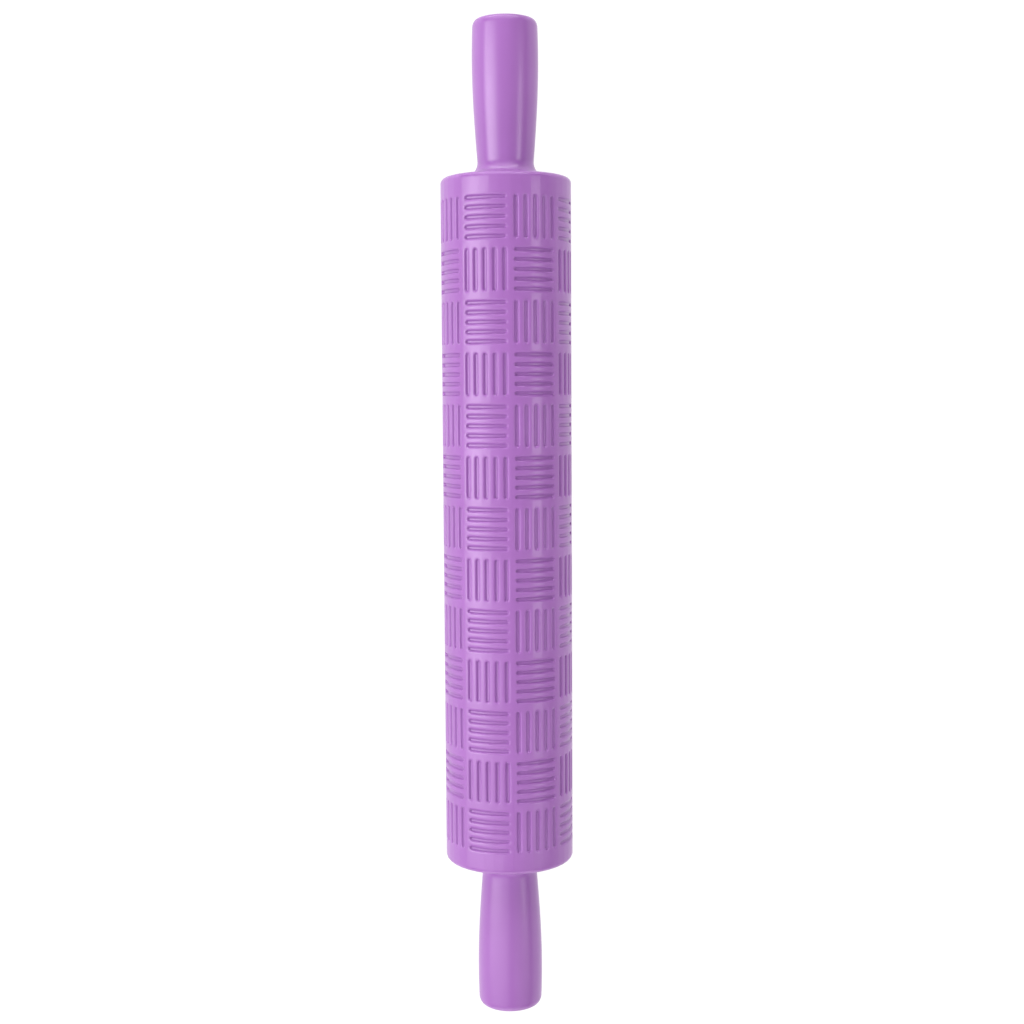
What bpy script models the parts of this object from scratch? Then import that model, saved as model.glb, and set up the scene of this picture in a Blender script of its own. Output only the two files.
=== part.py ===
"""Embossed rolling pin with a basket weave pattern.

A hollow plastic barrel, cut all round with short slots, turns on a steel axle.
The axle is screwed to a waisted grip at each end. The pin lies along X and its
middle is the origin. The left side is towards -X and the right side towards +X.
"""

import math

import bmesh
import bpy
from mathutils import Matrix, Vector

# Gap between pieces that touch, press together or run on each other
CLEARANCE = 0.0003

# Barrel
BARREL_LENGTH = 0.228
BARREL_RADIUS = 0.0215
BARREL_WALL = 0.0035
BARREL_EDGE_ROUND = 0.0018

# Basket weave: rows of tiles, each tile with a block of lengthwise or crosswise slots
TILE_PAIRS_AROUND = 4
FACETS_PER_TILE = 3
ROW_PITCH = 0.0166
LEAST_PLAIN_END = 0.006
SLOTS_PER_TILE = 5
SLOT_WIDTH = 0.00152
SLOT_DEPTH = 0.0009
LAND_BETWEEN_ROWS = 0.0028
LAND_BETWEEN_COLUMNS = 0.0023
CUTTER_STANDS_PROUD = 0.0002

# End caps, pressed into a seat in each end of the barrel
CAP_RECESS = 0.001
CAP_THICKNESS = 0.003
CAP_SEAT_STEP = 0.0008
CAP_RIM_LENGTH = 0.012
CAP_RIM_WALL = 0.002
HUB_LENGTH = 0.016
HUB_WALL = 0.003

# Flanged bushes, pressed into the hubs
BUSH_WALL = 0.0017
BUSH_LENGTH = 0.017
BUSH_FLANGE_LIP = 0.0011
BUSH_FLANGE_THICKNESS = 0.001

# Steel axle, stepped down inside each handle
AXLE_RADIUS = 0.004
AXLE_SHOULDER = 0.001
AXLE_END_CHAMFER = 0.0004
THRUST_WASHER_THICKNESS = 0.0008

# Handles
HANDLE_LENGTH = 0.051
NECK_RADIUS = 0.00927
SWELL_HEIGHT = 0.00161
SWELL_LENGTH = 0.033
FLARE_RADIUS = 0.005
FLARE_TURN = math.radians(78)
FLARE_LIP = 0.0011
HANDLE_END_ROUND = 0.0017
HANDLE_END_ROUND_LENGTH = 0.0026
SKIRT_CLEARANCE = 0.0005

# Handle screws, their washers and the plugs that cover them
SCREW_RADIUS = 0.002
SCREW_LENGTH = 0.0175
SCREW_HEAD_RADIUS = 0.0036
SCREW_HEAD_HEIGHT = 0.0024
SCREW_HEAD_ROUND = 0.0008
SOCKET_RADIUS = 0.0016
SOCKET_DEPTH = 0.0014
TAPPED_HOLE_SPARE = 0.003
SCREW_WASHER_RADIUS = 0.005
SCREW_WASHER_THICKNESS = 0.0008
SCREW_RECESS_RADIUS = 0.0055
SCREW_RECESS_DEPTH = 0.015
WEB_THICKNESS = 0.004
PLUG_RADIUS = 0.0065
PLUG_THICKNESS = 0.0025
PLUG_CHAMFER = 0.0004
PLUG_SPIGOT_LENGTH = 0.0035

# Fineness of the round pieces
LARGE_STEPS = 24
SMALL_STEPS = 16
SWELL_STEPS = 6
ARC_STEPS = 4
MERGE_DISTANCE = 0.00001
SHARP_ANGLE = math.radians(40)

# Places along the axis, from the middle of the pin outwards
BARREL_END = BARREL_LENGTH / 2
CAP_FACE = BARREL_END - CAP_RECESS
CAP_BACK = CAP_FACE - CAP_THICKNESS
HANDLE_FACE = CAP_FACE + CLEARANCE
BUSH_FLANGE_BACK = CAP_FACE + CLEARANCE
BUSH_FLANGE_FACE = BUSH_FLANGE_BACK + BUSH_FLANGE_THICKNESS
THRUST_WASHER_BACK = BUSH_FLANGE_FACE + CLEARANCE
AXLE_STEP = THRUST_WASHER_BACK + THRUST_WASHER_THICKNESS
SKIRT_FLOOR = AXLE_STEP + CLEARANCE
NECK = HANDLE_FACE + FLARE_LIP + FLARE_RADIUS * math.sin(FLARE_TURN)
HANDLE_END = BARREL_END + HANDLE_LENGTH
WEB_FACE = HANDLE_END - SCREW_RECESS_DEPTH
WEB_BACK = WEB_FACE - WEB_THICKNESS
AXLE_END = WEB_BACK - CLEARANCE
SCREW_WASHER_BACK = WEB_FACE + CLEARANCE
SCREW_HEAD_BACK = SCREW_WASHER_BACK + SCREW_WASHER_THICKNESS + CLEARANCE
SCREW_TIP = SCREW_HEAD_BACK - SCREW_LENGTH
TAPPED_HOLE_FLOOR = SCREW_TIP - TAPPED_HOLE_SPARE
PLUG_BACK = HANDLE_END - PLUG_THICKNESS
PLUG_SEAT = PLUG_BACK - CLEARANCE

# Radii that follow from the ones above
BARREL_BORE = BARREL_RADIUS - BARREL_WALL
CAP_SEAT_RADIUS = BARREL_BORE + CAP_SEAT_STEP
CAP_RIM_RADIUS = BARREL_BORE - CLEARANCE
BUSH_BORE = AXLE_RADIUS + CLEARANCE
BUSH_RADIUS = BUSH_BORE + BUSH_WALL
HUB_BORE = BUSH_RADIUS + CLEARANCE
HUB_RADIUS = HUB_BORE + HUB_WALL
BUSH_FLANGE_RADIUS = HUB_BORE + BUSH_FLANGE_LIP
SKIRT_BORE = BUSH_FLANGE_RADIUS + SKIRT_CLEARANCE
AXLE_STUB_RADIUS = AXLE_RADIUS - AXLE_SHOULDER
HANDLE_BORE = AXLE_STUB_RADIUS + CLEARANCE
SCREW_HOLE = SCREW_RADIUS + CLEARANCE
PLUG_SEAT_RADIUS = PLUG_RADIUS + CLEARANCE
PLUG_SPIGOT_RADIUS = SCREW_RECESS_RADIUS - CLEARANCE

# Layout of the weave
TILES_AROUND = 2 * TILE_PAIRS_AROUND
BARREL_FACETS = TILES_AROUND * FACETS_PER_TILE
ROWS = int((BARREL_LENGTH - 2 * LEAST_PLAIN_END + LAND_BETWEEN_ROWS) / ROW_PITCH)
TILE_ANGLE = 2 * math.pi / TILES_AROUND
FACET_ANGLE = 2 * math.pi / BARREL_FACETS
BLOCK_LENGTH = ROW_PITCH - LAND_BETWEEN_ROWS
BLOCK_ANGLE = TILE_ANGLE - LAND_BETWEEN_COLUMNS / BARREL_RADIUS
CROSSWISE_PITCH = (BLOCK_LENGTH - SLOT_WIDTH) / (SLOTS_PER_TILE - 1)
LENGTHWISE_PITCH = (BLOCK_ANGLE - SLOT_WIDTH / BARREL_RADIUS) / (SLOTS_PER_TILE - 1)

LILAC = (0.423, 0.191, 0.533)
STEEL = (0.56, 0.57, 0.58)
NYLON = (0.82, 0.81, 0.77)
BRASS = (0.68, 0.50, 0.22)

for old_object in list(bpy.data.objects):
    bpy.data.objects.remove(old_object, do_unlink=True)


def new_collection(name):
    collection = bpy.data.collections.new(name)
    bpy.context.scene.collection.children.link(collection)
    return collection


PIN = new_collection("embossed_rolling_pin")
CUTTERS = new_collection("cutters")


def new_body(name):
    """An empty on the axis that carries the pieces which move together."""
    body = bpy.data.objects.new(name, None)
    body.empty_display_size = BARREL_RADIUS
    PIN.objects.link(body)
    return body


ROLLER = new_body("roller_axis")
HANDLES = new_body("handles_axis")


def material(name, colour, roughness, metallic=0.0):
    made = bpy.data.materials.new(name)
    made.use_nodes = True
    shader = made.node_tree.nodes["Principled BSDF"]
    shader.inputs["Base Color"].default_value = (*colour, 1.0)
    shader.inputs["Roughness"].default_value = roughness
    shader.inputs["Metallic"].default_value = metallic
    return made


def arc(centre, radius, start, end, steps):
    """Points (distance from the axis, place along it) of an arc; radius may be a pair of half axes."""
    across, along = radius if isinstance(radius, tuple) else (radius, radius)
    points = []
    for step in range(steps + 1):
        angle = start + (end - start) * step / steps
        points.append((centre[0] + across * math.cos(angle), centre[1] + along * math.sin(angle)))
    return points


def turned_mesh(name, outline, steps, is_ring):
    """Profile of a turned piece, in the half plane where the middle of a facet faces straight down.

    The outline holds (distance from the axis to the facets, place along the axis) and runs down
    the outer side. A ring's outline is closed, and a solid piece's starts and ends on the axis.
    """
    half_facet = math.pi / steps
    towards = Vector((math.cos(half_facet), math.sin(half_facet), 0)) / math.cos(half_facet)
    points = [towards * distance + Vector((0, 0, place)) for distance, place in outline]
    edges = [(index, index + 1) for index in range(len(points) - 1)]
    if is_ring:
        edges.append((len(points) - 1, 0))
    mesh = bpy.data.meshes.new(name)
    mesh.from_pydata(points, edges, [])
    return mesh


def turned(name, outline, finish, body, steps, is_ring=True, side=1):
    """A turned piece along X: side 1 puts the outline's far places at +X, side -1 at -X."""
    piece = bpy.data.objects.new(name, turned_mesh(name, outline, steps, is_ring))
    PIN.objects.link(piece)
    piece.parent = body
    piece.rotation_euler = (0, side * math.pi / 2, 0)
    screw = piece.modifiers.new("turn", "SCREW")
    screw.steps = steps
    screw.render_steps = steps
    screw.use_merge_vertices = True
    screw.merge_threshold = MERGE_DISTANCE
    piece.data.materials.append(finish)
    return piece


def turned_pair(name, outline, finish, body, steps, is_ring=True):
    """The left and the right copy of a piece, each its own object."""
    left = turned(name + "_left", outline, finish, body, steps, is_ring, side=-1)
    right = turned(name + "_right", outline, finish, body, steps, is_ring, side=1)
    return left, right


def cutter_object(name, bm, rotation):
    """Hidden solid that is cut out of a piece."""
    bmesh.ops.recalc_face_normals(bm, faces=bm.faces)
    mesh = bpy.data.meshes.new(name)
    bm.to_mesh(mesh)
    bm.free()
    cutter = bpy.data.objects.new(name, mesh)
    cutter.rotation_euler = rotation
    cutter.hide_render = True
    cutter.display_type = "WIRE"
    CUTTERS.objects.link(cutter)
    return cutter


def cut(piece, cutter):
    boolean = piece.modifiers.new("cut", "BOOLEAN")
    boolean.operation = "DIFFERENCE"
    boolean.solver = "EXACT"
    boolean.object = cutter
    weld = piece.modifiers.new("weld", "WELD")
    weld.merge_threshold = MERGE_DISTANCE


def slot_section(bm, outward, across, floor_radius, place):
    """V-shaped section of a slot, with its point at floor_radius."""
    top_radius = BARREL_RADIUS / math.cos(FACET_ANGLE / 2) + CUTTER_STANDS_PROUD
    half_width = (top_radius - floor_radius) * SLOT_WIDTH / (2 * SLOT_DEPTH)
    middle = Vector((0, 0, place))
    corners = [
        middle + outward * floor_radius,
        middle + outward * top_radius + across * half_width,
        middle + outward * top_radius - across * half_width,
    ]
    return bm.faces.new([bm.verts.new(corner) for corner in corners])


def add_lengthwise_slot(bm, angle, row_place):
    outward = Vector((math.cos(angle), math.sin(angle), 0))
    across = Vector((-math.sin(angle), math.cos(angle), 0))
    floor_radius = BARREL_RADIUS - SLOT_DEPTH
    section = slot_section(bm, outward, across, floor_radius, row_place - BLOCK_LENGTH / 2)
    swept = bmesh.ops.extrude_face_region(bm, geom=[section])["geom"]
    moved = [item for item in swept if isinstance(item, bmesh.types.BMVert)]
    bmesh.ops.translate(bm, vec=(0, 0, BLOCK_LENGTH), verts=moved)


def add_crosswise_slot(bm, tile_middle, place):
    """A slot that follows the facets of one tile, with its bends on the facets' edges."""
    start = tile_middle - BLOCK_ANGLE / 2
    outward = Vector((math.cos(start), math.sin(start), 0))
    floor_radius = (BARREL_RADIUS - SLOT_DEPTH) / math.cos(FACET_ANGLE / 2)
    section = slot_section(bm, outward, Vector((0, 0, 1)), floor_radius, place)
    bends = []
    inner_facets = FACETS_PER_TILE - 2
    end_turn = (BLOCK_ANGLE - inner_facets * FACET_ANGLE) / 2
    for turn in [end_turn] + inner_facets * [FACET_ANGLE] + [end_turn]:
        swept = bmesh.ops.extrude_face_region(bm, geom=[section])["geom"]
        moved = [item for item in swept if isinstance(item, bmesh.types.BMVert)]
        bmesh.ops.rotate(bm, matrix=Matrix.Rotation(turn, 3, "Z"), verts=moved)
        section = next(item for item in swept if isinstance(item, bmesh.types.BMFace))
        bends.append(section)
    bmesh.ops.delete(bm, geom=bends[:-1], context="FACES_ONLY")


def weave_cutter():
    bm = bmesh.new()
    for row in range(ROWS):
        row_place = (row - (ROWS - 1) / 2) * ROW_PITCH
        for tile in range(TILES_AROUND):
            tile_middle = FACET_ANGLE / 2 + (tile + 0.5) * TILE_ANGLE
            for slot in range(SLOTS_PER_TILE):
                from_middle = slot - (SLOTS_PER_TILE - 1) / 2
                if (row + tile) % 2 == 0:
                    add_lengthwise_slot(bm, tile_middle + from_middle * LENGTHWISE_PITCH, row_place)
                else:
                    add_crosswise_slot(bm, tile_middle, row_place + from_middle * CROSSWISE_PITCH)
    return cutter_object("weave_cutter", bm, (0, math.pi / 2, 0))


def settle(piece):
    """Keeps the finished mesh of a piece, smooth along its curves and crisp at its corners."""
    finished = bpy.data.meshes.new_from_object(piece.evaluated_get(bpy.context.evaluated_depsgraph_get()))
    piece.modifiers.clear()
    piece.data = finished
    finished.name = piece.name
    finished.shade_smooth()
    finished.set_sharp_from_angle(angle=SHARP_ANGLE)


def make_barrel():
    """Open shell with rounded rims and a seat for a cap in each end."""
    seat_floor = CAP_BACK - CLEARANCE
    rim = (BARREL_RADIUS - BARREL_EDGE_ROUND, BARREL_END - BARREL_EDGE_ROUND)
    far_end = [(CAP_SEAT_RADIUS, BARREL_END)] + arc(rim, BARREL_EDGE_ROUND, math.pi / 2, 0, ARC_STEPS)
    near_end = [(distance, -place) for distance, place in reversed(far_end)]
    bore = [
        (CAP_SEAT_RADIUS, -seat_floor),
        (BARREL_BORE, -seat_floor),
        (BARREL_BORE, seat_floor),
        (CAP_SEAT_RADIUS, seat_floor),
    ]
    finish = material("barrel_plastic", LILAC, 0.38)
    barrel = turned("embossed_barrel", far_end + near_end + bore, finish, ROLLER, BARREL_FACETS)
    cut(barrel, weave_cutter())


def make_end_caps():
    """Disc with a rim that presses into the barrel and a hub that holds the bush."""
    rim_bore = CAP_RIM_RADIUS - CAP_RIM_WALL
    outline = [
        (HUB_BORE, CAP_FACE),
        (CAP_SEAT_RADIUS - CLEARANCE, CAP_FACE),
        (CAP_SEAT_RADIUS - CLEARANCE, CAP_BACK),
        (CAP_RIM_RADIUS, CAP_BACK),
        (CAP_RIM_RADIUS, CAP_BACK - CAP_RIM_LENGTH),
        (rim_bore, CAP_BACK - CAP_RIM_LENGTH),
        (rim_bore, CAP_BACK),
        (HUB_RADIUS, CAP_BACK),
        (HUB_RADIUS, CAP_BACK - HUB_LENGTH),
        (HUB_BORE, CAP_BACK - HUB_LENGTH),
    ]
    turned_pair("end_cap", outline, material("end_cap_plastic", LILAC, 0.42), ROLLER, BARREL_FACETS)


def make_bushes():
    outline = [
        (BUSH_BORE, BUSH_FLANGE_FACE),
        (BUSH_FLANGE_RADIUS, BUSH_FLANGE_FACE),
        (BUSH_FLANGE_RADIUS, BUSH_FLANGE_BACK),
        (BUSH_RADIUS, BUSH_FLANGE_BACK),
        (BUSH_RADIUS, BUSH_FLANGE_BACK - BUSH_LENGTH),
        (BUSH_BORE, BUSH_FLANGE_BACK - BUSH_LENGTH),
    ]
    turned_pair("axle_bush", outline, material("bush_nylon", NYLON, 0.5), ROLLER, SMALL_STEPS)


def make_axle():
    """Stepped rod with a tapped hole in each end."""
    far_half = [
        (0, TAPPED_HOLE_FLOOR),
        (SCREW_HOLE, TAPPED_HOLE_FLOOR),
        (SCREW_HOLE, AXLE_END),
        (AXLE_STUB_RADIUS - AXLE_END_CHAMFER, AXLE_END),
        (AXLE_STUB_RADIUS, AXLE_END - AXLE_END_CHAMFER),
        (AXLE_STUB_RADIUS, AXLE_STEP),
        (AXLE_RADIUS, AXLE_STEP),
    ]
    near_half = [(distance, -place) for distance, place in reversed(far_half)]
    finish = material("axle_steel", STEEL, 0.3, 1.0)
    turned("axle_rod", far_half + near_half, finish, HANDLES, SMALL_STEPS, is_ring=False)


def washer_outline(bore, radius, back, thickness):
    return [(bore, back + thickness), (radius, back + thickness), (radius, back), (bore, back)]


def make_thrust_washers():
    outline = washer_outline(BUSH_BORE, BUSH_FLANGE_RADIUS, THRUST_WASHER_BACK, THRUST_WASHER_THICKNESS)
    turned_pair("thrust_washer", outline, material("washer_brass", BRASS, 0.3, 1.0), HANDLES, SMALL_STEPS)


def swell_outline():
    """Side of the grip from the neck to where the end is rounded: a quarter sine wave and a little more."""
    last = HANDLE_END - HANDLE_END_ROUND_LENGTH
    points = []
    for step in range(SWELL_STEPS + 1):
        place = NECK + (last - NECK) * step / SWELL_STEPS
        rise = math.sin(math.pi / 2 * (place - NECK) / SWELL_LENGTH)
        points.append((NECK_RADIUS + SWELL_HEIGHT * rise, place))
    return points


def make_handles():
    """Waisted grip that flares at the barrel, bored for the axle and recessed for the screw and plug."""
    swell = swell_outline()
    end_centre = (swell[-1][0] - HANDLE_END_ROUND, swell[-1][1])
    end_round = arc(end_centre, (HANDLE_END_ROUND, HANDLE_END_ROUND_LENGTH), math.pi / 2, 0, ARC_STEPS)
    flare_centre = (NECK_RADIUS + FLARE_RADIUS, NECK)
    flare = arc(flare_centre, FLARE_RADIUS, math.pi, math.pi + FLARE_TURN, ARC_STEPS)
    outline = [(PLUG_SEAT_RADIUS, HANDLE_END)] + end_round + swell[-2:0:-1] + flare
    outline += [
        (flare[-1][0], HANDLE_FACE),
        (SKIRT_BORE, HANDLE_FACE),
        (SKIRT_BORE, SKIRT_FLOOR),
        (HANDLE_BORE, SKIRT_FLOOR),
        (HANDLE_BORE, WEB_BACK),
        (SCREW_HOLE, WEB_BACK),
        (SCREW_HOLE, WEB_FACE),
        (SCREW_RECESS_RADIUS, WEB_FACE),
        (SCREW_RECESS_RADIUS, PLUG_SEAT),
        (PLUG_SEAT_RADIUS, PLUG_SEAT),
    ]
    turned_pair("handle", outline, material("handle_plastic", LILAC, 0.36), HANDLES, LARGE_STEPS)


def socket_cutter(name, side):
    bm = bmesh.new()
    head_face = SCREW_HEAD_BACK + SCREW_HEAD_HEIGHT
    bmesh.ops.create_cone(
        bm,
        cap_ends=True,
        segments=6,
        radius1=SOCKET_RADIUS,
        radius2=SOCKET_RADIUS,
        depth=2 * SOCKET_DEPTH,
        matrix=Matrix.Translation((0, 0, head_face)),
    )
    return cutter_object(name, bm, (0, side * math.pi / 2, 0))


def make_screws():
    """Button-head socket screws that draw the handles onto the axle."""
    head_face = SCREW_HEAD_BACK + SCREW_HEAD_HEIGHT
    head_centre = (SCREW_HEAD_RADIUS - SCREW_HEAD_ROUND, head_face - SCREW_HEAD_ROUND)
    outline = [(0, head_face)] + arc(head_centre, SCREW_HEAD_ROUND, math.pi / 2, 0, ARC_STEPS // 2)
    outline += [
        (SCREW_HEAD_RADIUS, SCREW_HEAD_BACK),
        (SCREW_RADIUS, SCREW_HEAD_BACK),
        (SCREW_RADIUS, SCREW_TIP),
        (0, SCREW_TIP),
    ]
    finish = material("screw_steel", STEEL, 0.28, 1.0)
    left, right = turned_pair("handle_screw", outline, finish, HANDLES, SMALL_STEPS, is_ring=False)
    cut(left, socket_cutter("socket_cutter_left", -1))
    cut(right, socket_cutter("socket_cutter_right", 1))


def make_screw_washers():
    outline = washer_outline(SCREW_HOLE, SCREW_WASHER_RADIUS, SCREW_WASHER_BACK, SCREW_WASHER_THICKNESS)
    turned_pair("screw_washer", outline, material("washer_steel", STEEL, 0.35, 1.0), HANDLES, SMALL_STEPS)


def make_end_plugs():
    """Flat plug, flush with the end of the handle, on a spigot that grips the screw recess."""
    outline = [
        (0, HANDLE_END),
        (PLUG_RADIUS - PLUG_CHAMFER, HANDLE_END),
        (PLUG_RADIUS, HANDLE_END - PLUG_CHAMFER),
        (PLUG_RADIUS, PLUG_BACK),
        (PLUG_SPIGOT_RADIUS, PLUG_BACK),
        (PLUG_SPIGOT_RADIUS, PLUG_BACK - PLUG_SPIGOT_LENGTH),
        (0, PLUG_BACK - PLUG_SPIGOT_LENGTH),
    ]
    turned_pair("end_plug", outline, material("plug_plastic", LILAC, 0.36), HANDLES, SMALL_STEPS, is_ring=False)


make_barrel()
make_end_caps()
make_bushes()
make_axle()
make_thrust_washers()
make_handles()
make_screws()
make_screw_washers()
make_end_plugs()
for pin_piece in [member for member in PIN.objects if member.type == "MESH"]:
    settle(pin_piece)
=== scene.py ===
"""Looks of the embossed rolling pin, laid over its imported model.

Every piece is modelled in millimetres along X, with the middle of the pin at the origin,
and made metres when it is finished. Round pieces are turned about X. The right-hand copy
of each pair is the one that is modelled, and the left-hand one is turned half round about Z.
"""

import math

import bmesh
import bpy
from mathutils import Matrix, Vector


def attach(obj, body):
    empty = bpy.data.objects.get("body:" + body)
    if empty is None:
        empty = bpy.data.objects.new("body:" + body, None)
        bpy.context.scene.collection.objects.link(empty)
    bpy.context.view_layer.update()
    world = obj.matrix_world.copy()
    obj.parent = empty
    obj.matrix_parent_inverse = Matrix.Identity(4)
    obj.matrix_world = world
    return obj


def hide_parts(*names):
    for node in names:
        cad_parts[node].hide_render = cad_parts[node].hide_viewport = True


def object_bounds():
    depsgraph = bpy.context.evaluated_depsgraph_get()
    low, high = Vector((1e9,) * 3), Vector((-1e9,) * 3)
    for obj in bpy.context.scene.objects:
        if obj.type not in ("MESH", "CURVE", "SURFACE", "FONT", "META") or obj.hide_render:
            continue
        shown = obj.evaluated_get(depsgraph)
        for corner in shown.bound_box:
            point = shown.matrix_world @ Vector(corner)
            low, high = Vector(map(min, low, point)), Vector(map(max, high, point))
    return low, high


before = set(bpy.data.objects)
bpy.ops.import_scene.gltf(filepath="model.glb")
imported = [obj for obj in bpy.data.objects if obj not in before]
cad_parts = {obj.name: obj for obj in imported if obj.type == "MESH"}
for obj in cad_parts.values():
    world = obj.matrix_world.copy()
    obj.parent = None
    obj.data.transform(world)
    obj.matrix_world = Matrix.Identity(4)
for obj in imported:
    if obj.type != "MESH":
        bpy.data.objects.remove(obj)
cad_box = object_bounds()

MILLIMETRE = 0.001

# Barrel, in millimetres. The seats at its ends hold the caps
BARREL_RADIUS = 21.5
BARREL_END = 114
BARREL_BORE = 18
BARREL_EDGE_ROUND = 1.8
RIM_RUN_UP = 2
SEAT_RADIUS = 18.8
SEAT_FLOOR = 109.7
SEAT_EDGE = 0.25

# Weave, in millimetres. A tile holds one block of slots, and the tiles take turns:
# slots that run round the barrel are stepped along it, and the others are stepped round it
TILES_AROUND = 8
FIRST_TILE = math.radians(29.3)
TILE_TURN = 2 * math.pi / TILES_AROUND
TILE_ARC = TILE_TURN * BARREL_RADIUS
ROWS = 13
ROW_PITCH = 16.6
SLOTS = 5
SLOT_WIDTH = 3.05
SLOT_STEP_ALONG = 3.1
SLOT_STEP_ROUND = 3.29
BLOCK_LENGTH = (SLOTS - 1) * SLOT_STEP_ALONG + SLOT_WIDTH
BLOCK_ARC = (SLOTS - 1) * SLOT_STEP_ROUND + SLOT_WIDTH
CELLS = 2 * SLOTS + 1
END_CUTS = 4

# From the land down to the middle of a slot's floor: how far in and how far down each step goes
SLOT_SECTION = [
    (0.38, 0.012),
    (0.24, 0.05),
    (0.15, 0.1),
    (0.13, 0.21),
    (0.13, 0.24),
    (0.13, 0.14),
    (0.13, 0.035),
]

# Places along the axis that the inner pieces share
CAP_FACE = 113
CAP_BACK = 110
HANDLE_FACE = 113.3
HANDLE_END = 165
AXLE_STEP = 115.4
AXLE_END = 145.7

# Handle: its narrowest place, the swell from there outwards, the flare at the barrel, and
# how far its end is rounded across and along
NECK = 119.29
NECK_RADIUS = 9.27
SWELL_HEIGHT = 1.61
SWELL_LENGTH = 33
SWELL_STEPS = 24
FLARE_RADIUS = 5
END_ROUND = (1.7, 2.6)

# Flat sides of a round piece
ROUND = 96
SMALL_ROUND = 64
SCREW_ROUND = 48
HEXAGON = 6

# Points nearer than this are joined
WELD = 0.001
TILE_WELD = 0.002

LILAC = (0.323, 0.122, 0.42)
LILAC_DEEP = (0.3, 0.109, 0.391)
NYLON = (0.84, 0.83, 0.79)
NYLON_WORN = (0.74, 0.71, 0.63)
STEEL = (0.6, 0.6, 0.61)
STEEL_DARK = (0.48, 0.485, 0.5)
BRASS = (0.72, 0.53, 0.24)
BRASS_DARK = (0.6, 0.42, 0.17)
ZINC = (0.66, 0.66, 0.62)
ZINC_DARK = (0.5, 0.53, 0.57)

# Sockets of a Mix node that mixes colours
MIX_SHARE = 0
MIX_FIRST = 6
MIX_SECOND = 7
MIX_RESULT = 2

# Stage, in metres
LIGHT_DISTANCE = 2
STAGE_RADIUS = 12
STAGE_SIDES = 64
FLOOR_GAP = 0.0001

# Each light's name, its aim in degrees round the pin and then along it from above, the middle
# and the length of its face along the pin, the width of its face, and its radiance
SOFTBOXES = [
    ("window", (-59, 0), 0.18, 1.2, 0.92, 6.1),
    ("window_edge", (-40, 0), 0.18, 1.2, 0.4, 4.6),
    ("window_far_edge", (-30, 0), 0.18, 1.2, 0.35, 2.5),
    ("low_left", (-82, 0), -0.25, 2.1, 0.5, 0.2),
    ("ceiling", (-4, 0), 0.3, 1.6, 1.5, 0.55),
    ("ceiling_edge", (31, 0), 0.4, 1.6, 1.07, 0.35),
    ("strip", (57, 0), 0.02, 1, 0.48, 4.7),
    ("side", (72, 0), 0.3, 1.6, 0.63, 0.3),
    ("near_left", (-40, 0), -0.89, 0.92, 3.4, 2),
    ("near_right", (45, 0), -0.89, 0.92, 2.6, 1.15),
    ("near_end", (45, 0), -1.05, 0.62, 2.6, 0.6),
    ("near_low", (0, -62), 0, 1.07, 2.8, 1.2),
    ("near_horizon", (0, -80), 0, 0.4, 2.8, 3.8),
    ("far_low", (-10, 55), 0, 0.8, 2.8, 2.2),
    ("far_horizon", (-10, 80), 0, 0.4, 2.8, 7.2),
]
WORLD_LIGHT = 0.04

# Camera: where the photograph was taken from, in metres and degrees
CAMERA_LENS = 52.5
CAMERA_SENSOR = 36
CAMERA_ROUND_PIN = 3
CAMERA_PLACE = (0.04534, -0.00145, 0.49921)
CAMERA_TILT = 4.744
CAMERA_TURN = -90.332


def arc(centre, radius, start, end, steps):
    """Points (distance from the axis, place along it) of an arc, with angles in degrees."""
    across, along = radius if isinstance(radius, tuple) else (radius, radius)
    turns = [math.radians(start + (end - start) * step / steps) for step in range(steps + 1)]
    return [(centre[0] + across * math.cos(turn), centre[1] + along * math.sin(turn)) for turn in turns]


def turned(outline, steps, is_ring=True):
    """A round piece from its outline of (distance from the axis, place along it)."""
    bm = bmesh.new()
    points = [bm.verts.new((place, 0, -distance)) for distance, place in outline]
    lines = [bm.edges.new(pair) for pair in zip(points, points[1:])]
    if is_ring:
        lines.append(bm.edges.new((points[-1], points[0])))
    bmesh.ops.spin(
        bm,
        geom=points + lines,
        cent=(0, 0, 0),
        axis=(1, 0, 0),
        dvec=(0, 0, 0),
        angle=2 * math.pi,
        steps=steps,
        use_merge=True,
    )
    bmesh.ops.remove_doubles(bm, verts=bm.verts, dist=WELD)
    bmesh.ops.recalc_face_normals(bm, faces=bm.faces)
    return bm


def soften(bm, width, segments=2, sharper_than=35):
    """Rounds every ridge that is sharper than so many degrees."""
    limit = math.radians(sharper_than)
    ridges = [edge for edge in bm.edges if edge.is_manifold and edge.calc_face_angle() > limit]
    bmesh.ops.bevel(
        bm,
        geom=ridges,
        offset=width,
        offset_type="OFFSET",
        affect="EDGES",
        segments=segments,
        profile=0.5,
        material=-1,
        clamp_overlap=True,
    )


def carry_rim(bm, rim, outline):
    """Carries an open round rim along the outline, and returns the rim that it ends in."""
    for distance, place in outline:
        grown = bmesh.ops.extrude_edge_only(bm, edges=rim)["geom"]
        verts = [item for item in grown if isinstance(item, bmesh.types.BMVert)]
        rim = [item for item in grown if isinstance(item, bmesh.types.BMEdge) and item.is_boundary]
        here = verts[0].co
        growth = distance / math.hypot(here.y, here.z)
        step = place - here.x
        bmesh.ops.scale(bm, vec=(1, growth, growth), verts=verts)
        bmesh.ops.translate(bm, vec=(step, 0, 0), verts=verts)
    return rim


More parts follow.
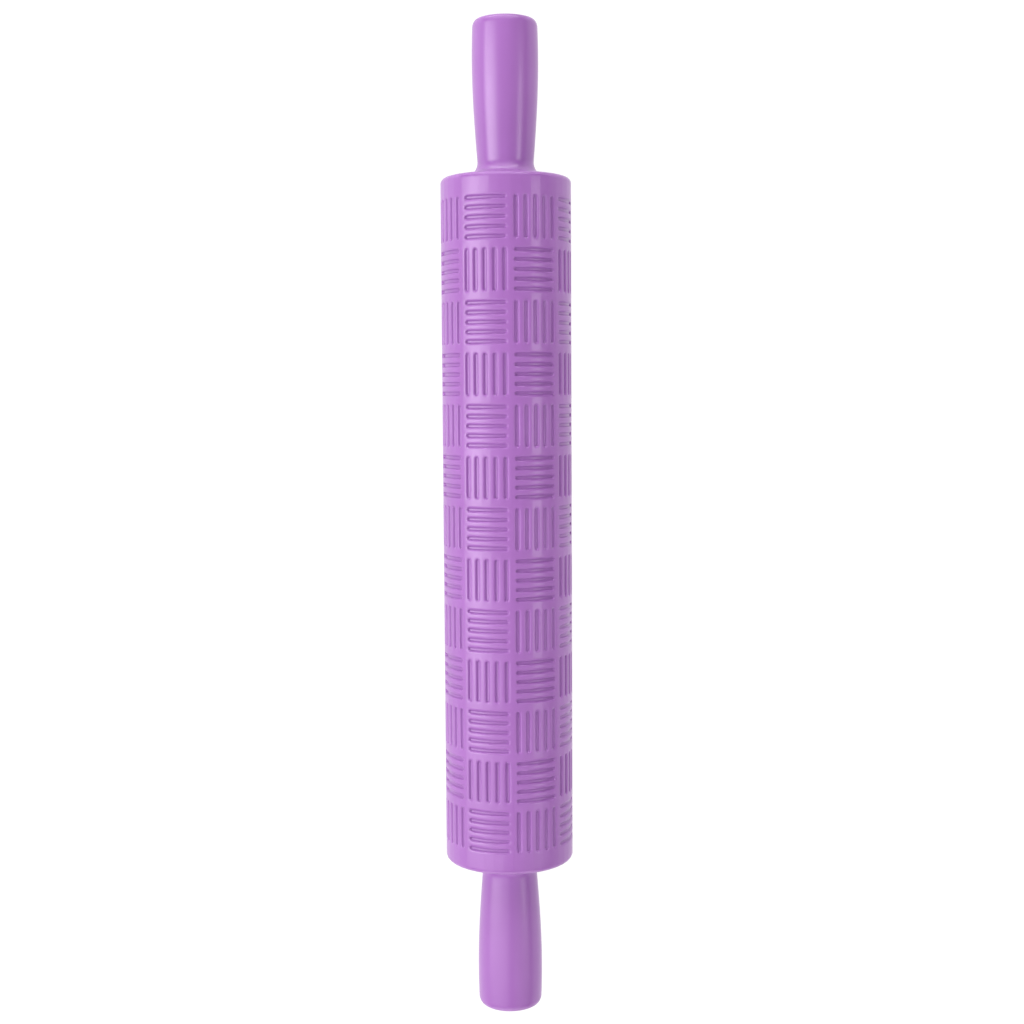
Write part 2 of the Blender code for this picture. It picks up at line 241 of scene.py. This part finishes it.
def finish_piece(bm, name, body, finish, smooth_below=50):
    """Turns a finished bmesh into the piece that stands for the node of the same name."""
    bmesh.ops.scale(bm, vec=(MILLIMETRE, MILLIMETRE, MILLIMETRE), verts=bm.verts)
    mesh = bpy.data.meshes.new(name)
    bm.to_mesh(mesh)
    bm.free()
    mesh.shade_smooth()
    mesh.set_sharp_from_angle(angle=math.radians(smooth_below))
    mesh.materials.append(finish)
    piece = bpy.data.objects.new("fine_" + name, mesh)
    bpy.context.scene.collection.objects.link(piece)
    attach(piece, body)
    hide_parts(name)
    return piece


def finish_pair(bm, name, body, finish, smooth_below=50):
    """The right-hand piece, and its copy turned half round for the left-hand end."""
    copy = bm.copy()
    bmesh.ops.rotate(copy, cent=(0, 0, 0), matrix=Matrix.Rotation(math.pi, 3, "Z"), verts=copy.verts)
    for made, side in ((bm, "_right"), (copy, "_left")):
        piece = finish_piece(made, name + side, body, finish, smooth_below)
        evened = piece.modifiers.new("evened_shading", "WEIGHTED_NORMAL")
        evened.keep_sharp = True


class Signal:
    """What a node gives out, ready for plain arithmetic."""

    def __init__(self, finish, socket):
        self.finish = finish
        self.socket = socket

    def reckon(self, operation, first, second):
        return self.finish.node("ShaderNodeMath", {"operation": operation}, {0: first, 1: second})

    def __add__(self, other):
        return self.reckon("ADD", self, other)

    def __radd__(self, other):
        return self.reckon("ADD", other, self)

    def __sub__(self, other):
        return self.reckon("SUBTRACT", self, other)

    def __rsub__(self, other):
        return self.reckon("SUBTRACT", other, self)

    def __mul__(self, other):
        return self.reckon("MULTIPLY", self, other)

    def __rmul__(self, other):
        return self.reckon("MULTIPLY", other, self)


class Finish:
    """A material in the making, on its Principled shader."""

    def __init__(self, name, constants):
        self.material = bpy.data.materials.new(name)
        self.material.use_nodes = True
        self.tree = self.material.node_tree
        self.shader = self.tree.nodes["Principled BSDF"]
        self.feed(self.shader, constants)

    def feed(self, node, values):
        for name, value in values.items():
            if isinstance(value, Signal):
                self.tree.links.new(value.socket, node.inputs[name])
            else:
                node.inputs[name].default_value = value

    def node(self, kind, settings, values, output=0):
        """Adds a node: its settings first, then its values and links."""
        made = self.tree.nodes.new(kind)
        for setting, value in settings.items():
            setattr(made, setting, value)
        self.feed(made, values)
        return Signal(self, made.outputs[output])

    def place(self, stretch=(1, 1, 1)):
        """The piece's own coordinates, in metres, stretched for a pattern."""
        own = self.node("ShaderNodeTexCoord", {}, {}, "Object")
        return self.node("ShaderNodeMapping", {}, {"Vector": own, "Scale": stretch})

    def noise(self, place, scale, detail=2, roughness=0.5):
        values = {"Vector": place, "Scale": scale, "Detail": detail, "Roughness": roughness}
        return self.node("ShaderNodeTexNoise", {}, values, "Fac")

    def between(self, share, first, second):
        """A colour that lies the given share of the way from the first to the second."""
        values = {MIX_SHARE: share, MIX_FIRST: (*first, 1), MIX_SECOND: (*second, 1)}
        return self.node("ShaderNodeMix", {"data_type": "RGBA"}, values, MIX_RESULT)

    def bump(self, height, millimetres, over=None):
        """Surface relief so many millimetres high, laid over an earlier one if that is given."""
        values = {"Height": height, "Distance": millimetres * MILLIMETRE}
        if over:
            values["Normal"] = over
        return self.node("ShaderNodeBump", {}, values, "Normal")

    def done(self, colour, roughness, relief):
        self.feed(self.shader, {"Base Color": colour, "Roughness": roughness, "Normal": relief})
        return self.material


def lilac_plastic(name, roughness, waviness):
    """Satin moulded plastic, faintly cloudy, with a fine mould grain and a slow waviness."""
    finish = Finish(name, {"IOR": 1.55})
    place = finish.place()
    cloud = finish.noise(place, 45, 3, 0.55)
    grain = finish.noise(place, 1500)
    wave = finish.noise(finish.place((0.3, 1, 1)), 190)
    smooth = {"interpolation_type": "SMOOTHSTEP"}
    depth = finish.node("ShaderNodeMapRange", smooth, {"Value": cloud, "From Min": 0.2, "From Max": 0.8})
    colour = finish.between(depth, LILAC, LILAC_DEEP)
    relief = finish.bump(grain, 0.006, over=finish.bump(wave, waviness))
    return finish.done(colour, roughness - 0.03 + 0.06 * cloud, relief)


def nylon():
    """Natural nylon, a little darker where it has worn and picked up grease."""
    finish = Finish("natural_nylon", {"IOR": 1.53})
    stain = finish.noise(finish.place(), 260, 4, 0.6)
    grain = finish.noise(finish.place(), 2600)
    colour = finish.between(stain, NYLON, NYLON_WORN)
    return finish.done(colour, 0.42 + 0.14 * stain, finish.bump(grain, 0.008))


def turned_metal(name, light, dark, roughness, ring_scale):
    """Metal with the fine rings that turning or grinding leaves round the axis."""
    finish = Finish(name, {"Metallic": 1.0})
    rings = finish.noise(finish.place((1, 0.02, 0.02)), ring_scale, 3, 0.6)
    patches = finish.noise(finish.place(), 180, 3, 0.6)
    colour = finish.between(patches, light, dark)
    return finish.done(colour, roughness + 0.18 * rings, finish.bump(rings, 0.012))


barrel_plastic = lilac_plastic("satin_lilac_barrel", 0.3, 0.05)
handle_plastic = lilac_plastic("satin_lilac_handle", 0.29, 0.015)
cap_plastic = lilac_plastic("satin_lilac_cap", 0.34, 0.02)
plug_plastic = lilac_plastic("satin_lilac_plug", 0.32, 0.01)
bush_nylon = nylon()
axle_steel = turned_metal("ground_axle_steel", STEEL, STEEL_DARK, 0.2, 2400)
washer_brass = turned_metal("turned_brass", BRASS, BRASS_DARK, 0.2, 3000)
fixing_steel = turned_metal("zinc_plated_steel", ZINC, ZINC_DARK, 0.24, 1400)


def slot_edge(line, block, tile):
    """Place of a tile's grid line across the slots. The first and last lines are the tile's edges."""
    if line in (0, CELLS):
        return tile / 2 if line else -tile / 2
    pitch = (block - SLOT_WIDTH) / (SLOTS - 1)
    return (line - 1) // 2 * pitch + (line - 1) % 2 * SLOT_WIDTH - block / 2


def weave_tile(name, is_crosswise):
    """Flat tile of the weave, X round the barrel and Y along it, with its slots sunk into it."""
    bm = bmesh.new()
    bmesh.ops.create_grid(bm, x_segments=CELLS, y_segments=CELLS, size=CELLS / 2)
    run, block = (0, BLOCK_ARC) if is_crosswise else (1, BLOCK_LENGTH)
    across = 1 - run
    for face in bm.faces:
        cell = [math.floor(value + CELLS / 2) for value in face.calc_center_median()[:2]]
        is_slot = cell[across] % 2 == 1 and 0 < cell[run] < CELLS - 1
        face.material_index = 1 if is_slot else 0
    merged = []
    for edge in bm.edges:
        lines = [sorted(round(vert.co[way] + CELLS / 2) for vert in edge.verts) for way in (run, across)]
        is_inner = lines[0][0] == lines[0][1] and 1 < lines[0][0] < CELLS - 1
        if not is_crosswise and is_inner and 0 < lines[1][0] < lines[1][1] < CELLS:
            merged.append(edge)
    for vert in bm.verts:
        lines = [round(value + CELLS / 2) for value in vert.co[:2]]
        spot = [slot_edge(lines[0], BLOCK_ARC, TILE_ARC), slot_edge(lines[1], BLOCK_LENGTH, ROW_PITCH)]
        if not vert.is_boundary:
            spot[run] = (lines[run] - CELLS / 2) / (CELLS - 2) * (block - SLOT_WIDTH)
        vert.co = (*spot, 0)
    bmesh.ops.dissolve_edges(bm, edges=merged, use_verts=False)
    spare = [vert for vert in bm.verts if len(vert.link_edges) == 2 and not vert.is_boundary]
    bmesh.ops.dissolve_verts(bm, verts=spare)
    round_slot_ends(bm, run, (block - SLOT_WIDTH) / 2)
    slots = [face for face in bm.faces if face.material_index == 1]
    for inset, sink in SLOT_SECTION:
        bmesh.ops.inset_region(
            bm,
            faces=slots,
            thickness=inset,
            depth=-sink,
            use_boundary=True,
            use_even_offset=True,
        )
    for face in bm.faces:
        face.material_index = 0
    mesh = bpy.data.meshes.new(name)
    bm.to_mesh(mesh)
    bm.free()
    return mesh


def round_slot_ends(bm, run, straight_end):
    """Bends both end edges of every slot out into a half circle."""
    across = 1 - run
    ends = []
    for edge in bm.edges:
        is_end = abs(abs(edge.verts[0].co[run] + edge.verts[1].co[run]) / 2 - straight_end) < WELD
        if is_end and any(face.material_index == 1 for face in edge.link_faces):
            ends.append(edge)
    for edge in ends:
        middle = (edge.verts[0].co + edge.verts[1].co) / 2
        outward = math.copysign(1, middle[run])
        split = bmesh.ops.bisect_edges(bm, edges=[edge], cuts=END_CUTS)["geom_split"]
        for vert in split:
            if isinstance(vert, bmesh.types.BMVert):
                turn = (vert.co[across] - middle[across]) / SLOT_WIDTH * math.pi
                vert.co[across] = middle[across] + SLOT_WIDTH / 2 * math.sin(turn)
                vert.co[run] = middle[run] + outward * SLOT_WIDTH / 2 * math.cos(turn)


def make_barrel():
    """Lays the tiles out flat, wraps them round the barrel, and adds its plain bands, rims and bore."""
    crosswise = weave_tile("crosswise_tile", True)
    lengthwise = weave_tile("lengthwise_tile", False)
    bm = bmesh.new()
    for row in range(ROWS):
        for tile in range(TILES_AROUND):
            laid = len(bm.verts)
            bm.from_mesh(lengthwise if (row + tile) % 2 == 0 else crosswise)
            bm.verts.ensure_lookup_table()
            around = (FIRST_TILE + tile * TILE_TURN) * BARREL_RADIUS
            along = (row - (ROWS - 1) / 2) * ROW_PITCH
            bmesh.ops.translate(bm, vec=(around, along, 0), verts=bm.verts[laid:])
    for vert in bm.verts:
        turn = vert.co.x / BARREL_RADIUS
        distance = BARREL_RADIUS + vert.co.z
        vert.co = (vert.co.y, distance * math.sin(turn), -distance * math.cos(turn))
    bmesh.ops.remove_doubles(bm, verts=bm.verts, dist=TILE_WELD)
    rim_start = BARREL_END - BARREL_EDGE_ROUND
    outline = [(BARREL_RADIUS, rim_start - RIM_RUN_UP)]
    outline += arc((BARREL_RADIUS - BARREL_EDGE_ROUND, rim_start), BARREL_EDGE_ROUND, 0, 90, 8)
    outline += [
        (SEAT_RADIUS + SEAT_EDGE, BARREL_END),
        (SEAT_RADIUS, BARREL_END - SEAT_EDGE),
        (SEAT_RADIUS, SEAT_FLOOR),
        (BARREL_BORE, SEAT_FLOOR),
    ]
    open_edges = [edge for edge in bm.edges if edge.is_boundary]
    bores = []
    for side in (-1, 1):
        rim = [edge for edge in open_edges if edge.verts[0].co.x * side > 0]
        bores += carry_rim(bm, rim, [(distance, side * place) for distance, place in outline])
    bmesh.ops.bridge_loops(bm, edges=bores)
    bmesh.ops.recalc_face_normals(bm, faces=bm.faces)
    finish_piece(bm, "embossed_barrel", "roller", barrel_plastic, 60)


def make_end_caps():
    """Disc that closes the barrel, with a sleeve inside the barrel's bore and a hub for the bush."""
    disc, sleeve, sleeve_bore, hub, hub_bore = 18.5, 17.7, 15.7, 9.3, 6.3
    sleeve_end, hub_end = 98, 94
    outline = [
        (hub_bore, CAP_FACE),
        (disc, CAP_FACE),
        (disc, CAP_BACK),
        (sleeve, CAP_BACK),
        (sleeve, sleeve_end),
        (sleeve_bore, sleeve_end),
        (sleeve_bore, CAP_BACK),
        (hub, CAP_BACK),
        (hub, hub_end),
        (hub_bore, hub_end),
    ]
    bm = turned(outline, ROUND)
    soften(bm, 0.3, 3)
    finish_pair(bm, "end_cap", "roller", cap_plastic)


def make_bushes():
    """Flanged sleeve in the cap's hub."""
    bore, sleeve, flange = 4.3, 6, 7.4
    sleeve_end, flange_back, flange_face = 96.3, 113.3, 114.3
    outline = [
        (bore, flange_face),
        (flange, flange_face),
        (flange, flange_back),
        (sleeve, flange_back),
        (sleeve, sleeve_end),
        (bore, sleeve_end),
    ]
    bm = turned(outline, SMALL_ROUND)
    soften(bm, 0.2, 3)
    finish_pair(bm, "axle_bush", "roller", bush_nylon)


def make_axle():
    """Ground rod, stepped down at both ends, with a tapped hole in each."""
    rod, step, hole = 4, 3, 2.3
    drill_point, hole_floor = 130.9, 131.6
    far_half = [
        (0, drill_point),
        (hole, hole_floor),
        (hole, AXLE_END),
        (step, AXLE_END),
        (step, AXLE_STEP),
        (rod, AXLE_STEP),
    ]
    near_half = [(distance, -place) for distance, place in reversed(far_half)]
    bm = turned(far_half + near_half, SMALL_ROUND, is_ring=False)
    soften(bm, 0.3, 2, 60)
    finish_piece(bm, "axle_rod", "handles", axle_steel)


def make_flat_ring(bore, rim, face, back):
    """A washer with its edges eased."""
    bm = turned([(bore, face), (rim, face), (rim, back), (bore, back)], SMALL_ROUND)
    soften(bm, 0.12, 2)
    return bm


def make_thrust_washers():
    bm = make_flat_ring(4.3, 7.4, AXLE_STEP, 114.6)
    finish_pair(bm, "thrust_washer", "handles", washer_brass)


def make_handles():
    """Waisted grip with a flared skirt at the barrel, bored for the axle, the screw and the plug."""
    skirt_bore, skirt_floor = 7.9, 115.7
    axle_bore, axle_floor = 3.3, 146
    screw_bore, screw_floor = 2.3, 150
    head_bore, plug_floor, plug_bore = 5.5, 162.2, 6.8
    last = HANDLE_END - END_ROUND[1]
    swell = []
    for step in range(SWELL_STEPS + 1):
        place = NECK + (last - NECK) * step / SWELL_STEPS
        height = SWELL_HEIGHT * math.sin(math.pi / 2 * (place - NECK) / SWELL_LENGTH)
        swell.append((NECK_RADIUS + height, place))
    end_round = arc((swell[-1][0] - END_ROUND[0], last), END_ROUND, 90, 0, 10)
    flare = arc((NECK_RADIUS + FLARE_RADIUS, NECK), FLARE_RADIUS, 180, 258, 12)
    inside = [
        (flare[-1][0], HANDLE_FACE),
        (skirt_bore, HANDLE_FACE),
        (skirt_bore, skirt_floor),
        (axle_bore, skirt_floor),
        (axle_bore, axle_floor),
        (screw_bore, axle_floor),
        (screw_bore, screw_floor),
        (head_bore, screw_floor),
        (head_bore, plug_floor),
        (plug_bore, plug_floor),
    ]
    bm = turned([(plug_bore, HANDLE_END)] + end_round + swell[-2:0:-1] + flare + inside, ROUND)
    soften(bm, 0.2, 3, 50)
    finish_pair(bm, "handle", "handles", handle_plastic)


def make_screws():
    """Button-head screws: a hexagon socket, the domed head, then the shank with its thread."""
    head, head_top, head_back, dome = 3.6, 153.8, 151.4, 0.8
    socket, socket_well = 1.6, [(1.6, 152.5), (0.2, 152.1)]
    thread, thread_root, thread_start, thread_pitch, thread_turns = 2, 1.62, 150.8, 0.7, 24
    tip = (1.6, 133.9)
    bm = bmesh.new()
    rims = []
    for sides, radius in ((HEXAGON, socket), (SCREW_ROUND, head - dome)):
        earlier = set(bm.edges)
        circle = bmesh.ops.create_circle(bm, cap_ends=False, segments=sides, radius=radius)["verts"]
        bmesh.ops.rotate(bm, cent=(0, 0, 0), matrix=Matrix.Rotation(math.pi / 2, 3, "Y"), verts=circle)
        bmesh.ops.translate(bm, vec=(head_top, 0, 0), verts=circle)
        rims.append([edge for edge in bm.edges if edge not in earlier])
    socket_rim, rim = rims
    bmesh.ops.bridge_loops(bm, edges=socket_rim + rim)
    socket_floor = carry_rim(bm, socket_rim, socket_well)
    bmesh.ops.holes_fill(bm, edges=socket_floor, sides=HEXAGON)
    head_outline = arc((head - dome, head_top - dome), dome, 90, 0, 6)[1:]
    rim = carry_rim(bm, rim, head_outline + [(head, head_back), (thread, head_back), (thread, thread_start)])
    for turn in range(thread_turns):
        top = thread_start - turn * thread_pitch
        rim = carry_rim(bm, rim, [(thread_root, top - thread_pitch / 2), (thread, top - thread_pitch)])
    bmesh.ops.holes_fill(bm, edges=carry_rim(bm, rim, [tip]), sides=SCREW_ROUND)
    bmesh.ops.recalc_face_normals(bm, faces=bm.faces)
    finish_pair(bm, "handle_screw", "handles", fixing_steel, 40)


def make_screw_washers():
    bm = make_flat_ring(2.3, 5, 151.1, 150.3)
    finish_pair(bm, "screw_washer", "handles", fixing_steel)


def make_end_plugs():
    """Flat-headed plug that closes the handle's end."""
    head, neck = 6.5, 5.2
    head_back, neck_end = 162.5, 159
    outline = [
        (0, HANDLE_END),
        (head, HANDLE_END),
        (head, head_back),
        (neck, head_back),
        (neck, neck_end),
        (0, neck_end),
    ]
    bm = turned(outline, SMALL_ROUND, is_ring=False)
    soften(bm, 0.35, 3)
    finish_pair(bm, "end_plug", "handles", plug_plastic)


def glowing_white(name):
    """White that gives off most of its own light, so it shows no shadow."""
    paper = (0.1, 0.1, 0.1, 1)
    glow = (1, 1, 1, 1)
    surface = {"Base Color": paper, "Roughness": 0.9, "Emission Color": glow, "Emission Strength": 0.94}
    return Finish(name, surface).material


def stage_piece(bm, name, finish):
    """Turns a finished bmesh into a piece of the stage."""
    mesh = bpy.data.meshes.new(name)
    bm.to_mesh(mesh)
    bm.free()
    mesh.materials.append(finish)
    piece = bpy.data.objects.new(name, mesh)
    bpy.context.scene.collection.objects.link(piece)
    return piece


def make_floor():
    bm = bmesh.new()
    bmesh.ops.create_circle(bm, cap_ends=True, segments=STAGE_SIDES, radius=STAGE_RADIUS)
    bmesh.ops.translate(bm, vec=(0, 0, cad_box[0].z - FLOOR_GAP), verts=bm.verts)
    stage_piece(bm, "floor", glowing_white("white_floor"))


def make_backdrop():
    """Pale dome behind everything. It takes no part in the lighting."""
    bm = bmesh.new()
    bmesh.ops.create_uvsphere(bm, u_segments=STAGE_SIDES, v_segments=STAGE_SIDES // 2, radius=STAGE_RADIUS)
    backdrop = stage_piece(bm, "backdrop", glowing_white("white_backdrop"))
    backdrop.visible_diffuse = False
    backdrop.visible_glossy = False
    backdrop.visible_shadow = False


def softbox(name, aim, middle, length, width, radiance):
    """Rectangular light that faces the pin."""
    light = bpy.data.lights.new(name, "AREA")
    light.shape = "RECTANGLE"
    light.size = length
    light.size_y = width
    light.energy = radiance * math.pi * length * width
    lamp = bpy.data.objects.new(name, light)
    bpy.context.scene.collection.objects.link(lamp)
    round_pin, along_pin = (Matrix.Rotation(math.radians(turn), 4, axis) for turn, axis in zip(aim, "XY"))
    lamp.matrix_world = round_pin @ along_pin @ Matrix.Translation((middle, 0, LIGHT_DISTANCE))


def make_studio():
    world = bpy.data.worlds.new("studio")
    world.use_nodes = True
    background = world.node_tree.nodes["Background"]
    background.inputs["Color"].default_value = (1, 1, 1, 1)
    background.inputs["Strength"].default_value = WORLD_LIGHT
    bpy.context.scene.world = world
    for name, *settings in SOFTBOXES:
        softbox(name + "_softbox", *settings)
    bpy.context.scene.view_settings.view_transform = "Standard"


def make_camera():
    """Straight above the pin and a little to its right, as the photograph was taken."""
    lens = bpy.data.cameras.new("camera")
    lens.lens = CAMERA_LENS
    lens.sensor_width = CAMERA_SENSOR
    lens.clip_start = 0.01
    camera = bpy.data.objects.new("camera", lens)
    bpy.context.scene.collection.objects.link(camera)
    round_pin = Matrix.Rotation(math.radians(CAMERA_ROUND_PIN), 4, "X")
    above = Matrix.Translation(CAMERA_PLACE)
    tilt = Matrix.Rotation(math.radians(CAMERA_TILT), 4, "Y")
    upright = Matrix.Rotation(math.radians(CAMERA_TURN), 4, "Z")
    camera.matrix_world = round_pin @ above @ tilt @ upright
    bpy.context.scene.camera = camera


make_camera()
make_barrel()
make_end_caps()
make_bushes()
make_axle()
make_thrust_washers()
make_handles()
make_screws()
make_screw_washers()
make_end_plugs()
make_floor()
make_backdrop()
make_studio()
